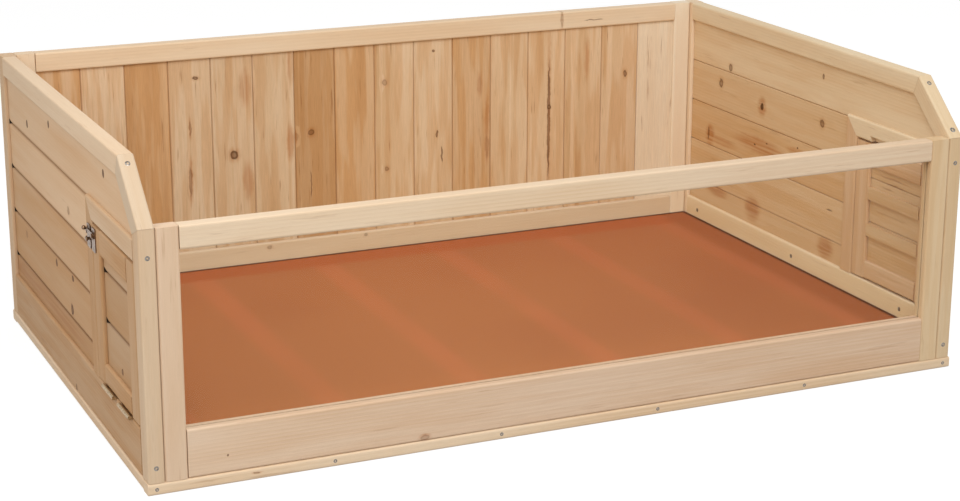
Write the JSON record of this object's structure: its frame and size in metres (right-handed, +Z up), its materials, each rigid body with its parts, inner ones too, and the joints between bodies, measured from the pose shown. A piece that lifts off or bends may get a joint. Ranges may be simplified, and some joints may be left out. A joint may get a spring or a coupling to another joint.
{
  "type": "small-animal pen",
  "caption": "Open-topped wooden small-animal pen with board walls, a low clear front, a wipe-clean floor and drop-down ramp doors held by hook latches.",
  "frame": {"origin": "on the ground under the middle of the pen", "axes": "+X to the right along the clear front, +Y from the front to the back wall, +Z up"},
  "size_m": [1.2358, 0.787, 0.426],
  "materials": {
    "frame": "planed, unfinished",
    "boards": "planed, unfinished",
    "floor": "satin",
    "window": "clear",
    "hinge": "plated",
    "latch": "zinc plated"
  },
  "bodies": {
    "frame": {"base_front_rim": "frame", "base_back_rim": "frame", "base_left_rim": "frame", "base_right_rim": "frame", "floor_joist_1": "frame", "floor_joist_2": "frame", "floor_joist_3": "frame", "floor_joist_4": "frame", "floor_sheet": "floor", "front_left_stile": "frame", "front_right_stile": "frame", "front_top_rail": "frame", "front_bottom_rail": "frame", "back_left_stile": "frame", "back_right_stile": "frame", "back_top_rail": "frame", "back_bottom_rail": "frame", "window_sheet": "window", "back_boards": "boards", "left_front_post": "frame", "left_slope_rail": "frame", "left_top_rail": "frame", "left_rear_post": "frame", "left_bottom_rail": "frame", "left_door_jamb": "frame", "left_door_lintel": "frame", "left_boards": "boards", "left_front_hinge_frame_leaf": "hinge", "left_rear_hinge_frame_leaf": "hinge", "left_latch_stud": "latch", "right_front_post": "frame", "right_slope_rail": "frame", "right_top_rail": "frame", "right_rear_post": "frame", "right_bottom_rail": "frame", "right_door_jamb": "frame", "right_door_lintel": "frame", "right_boards": "boards", "right_front_hinge_frame_leaf": "hinge", "right_rear_hinge_frame_leaf": "hinge", "right_latch_stud": "latch"},
    "left_door": {"left_door_front_stile": "frame", "left_door_rear_stile": "frame", "left_door_top_rail": "frame", "left_door_bottom_rail": "frame", "left_door_boards": "boards", "left_front_hinge_door_leaf": "hinge", "left_rear_hinge_door_leaf": "hinge", "left_latch_plate": "latch"},
    "right_door": {"right_door_front_stile": "frame", "right_door_rear_stile": "frame", "right_door_top_rail": "frame", "right_door_bottom_rail": "frame", "right_door_boards": "boards", "right_front_hinge_door_leaf": "hinge", "right_rear_hinge_door_leaf": "hinge", "right_latch_plate": "latch"},
    "left_hook": {"left_latch_hook": "latch"},
    "right_hook": {"right_latch_hook": "latch"}
  },
  "joints": [
    {"name": "left_door_hinge", "type": "hinge", "parent": "frame", "child": "left_door", "pos_m": [-0.6133, -0.2595, 0.0833], "axis": [0, -1, 0], "range_deg": [0, 112]},
    {"name": "right_door_hinge", "type": "hinge", "parent": "frame", "child": "right_door", "pos_m": [0.6133, -0.2595, 0.0833], "axis": [0, 1, 0], "range_deg": [0, 112]},
    {"name": "left_hook_pivot", "type": "hinge", "parent": "left_door", "child": "left_hook", "pos_m": [-0.6119, -0.1695, 0.2848], "axis": [1, 0, 0], "range_deg": [-20, 75]},
    {"name": "right_hook_pivot", "type": "hinge", "parent": "right_door", "child": "right_hook", "pos_m": [0.6119, -0.1695, 0.2848], "axis": [1, 0, 0], "range_deg": [-20, 75]}
  ]
}
